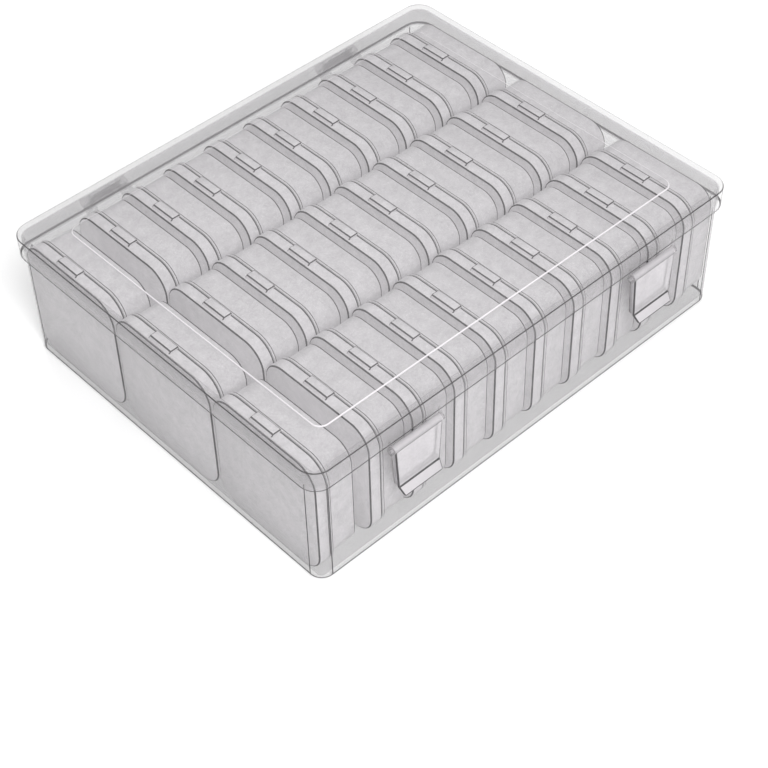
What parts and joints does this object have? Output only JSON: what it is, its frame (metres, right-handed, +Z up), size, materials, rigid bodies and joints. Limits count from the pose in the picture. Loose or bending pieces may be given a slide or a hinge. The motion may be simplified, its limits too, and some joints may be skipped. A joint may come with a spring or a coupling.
{
  "type": "bead storage box",
  "caption": "Clear lidded case with two front latches, holding upright small boxes with snap lids for beads and small parts.",
  "frame": {"origin": "centre of the case's footprint, on the surface that it stands on", "axes": "+X along the long side, away from the small boxes' lids; -Y towards the latches; +Z up"},
  "size_m": [0.25, 0.212, 0.0687],
  "materials": {
    "case_clear": "clear moulded plastic, glossy",
    "box_clear": "clear moulded plastic, glossy"
  },
  "bodies": {
    "tub": {"tub": "case_clear", "tray_row01_front": "box_clear", "tray_row01_middle": "box_clear", "tray_row01_rear": "box_clear", "tray_row02_front": "box_clear", "tray_row02_middle": "box_clear", "tray_row02_rear": "box_clear", "tray_row03_front": "box_clear", "tray_row03_middle": "box_clear", "tray_row03_rear": "box_clear", "tray_row04_front": "box_clear", "tray_row04_middle": "box_clear", "tray_row04_rear": "box_clear", "tray_row05_front": "box_clear", "tray_row05_middle": "box_clear", "tray_row05_rear": "box_clear", "tray_row06_front": "box_clear", "tray_row06_middle": "box_clear", "tray_row06_rear": "box_clear", "tray_row07_front": "box_clear", "tray_row07_middle": "box_clear", "tray_row07_rear": "box_clear", "tray_row08_front": "box_clear", "tray_row08_middle": "box_clear", "tray_row08_rear": "box_clear", "tray_row09_front": "box_clear", "tray_row09_middle": "box_clear", "tray_row09_rear": "box_clear", "tray_row10_front": "box_clear", "tray_row10_middle": "box_clear", "tray_row10_rear": "box_clear", "small_lids_row01": "box_clear", "small_lids_row02": "box_clear", "small_lids_row03": "box_clear", "small_lids_row04": "box_clear", "small_lids_row05": "box_clear", "small_lids_row06": "box_clear", "small_lids_row07": "box_clear", "small_lids_row08": "box_clear", "small_lids_row09": "box_clear", "small_lids_row10": "box_clear"},
    "lid": {"case_lid": "case_clear"},
    "latch_left": {"latch_left": "case_clear"},
    "latch_right": {"latch_right": "case_clear"}
  },
  "joints": [
    {"name": "lid_hinge", "type": "hinge", "parent": "tub", "child": "lid", "pos_m": [0, 0.1032, 0.057], "axis": [-1, 0, 0], "range_deg": [0, 180]},
    {"name": "latch_left_hinge", "type": "hinge", "parent": "lid", "child": "latch_left", "pos_m": [-0.0715, -0.1012, 0.055], "axis": [-1, 0, 0], "range_deg": [0, 110]},
    {"name": "latch_right_hinge", "type": "hinge", "parent": "lid", "child": "latch_right", "pos_m": [0.0715, -0.1012, 0.055], "axis": [-1, 0, 0], "range_deg": [0, 110]}
  ]
}
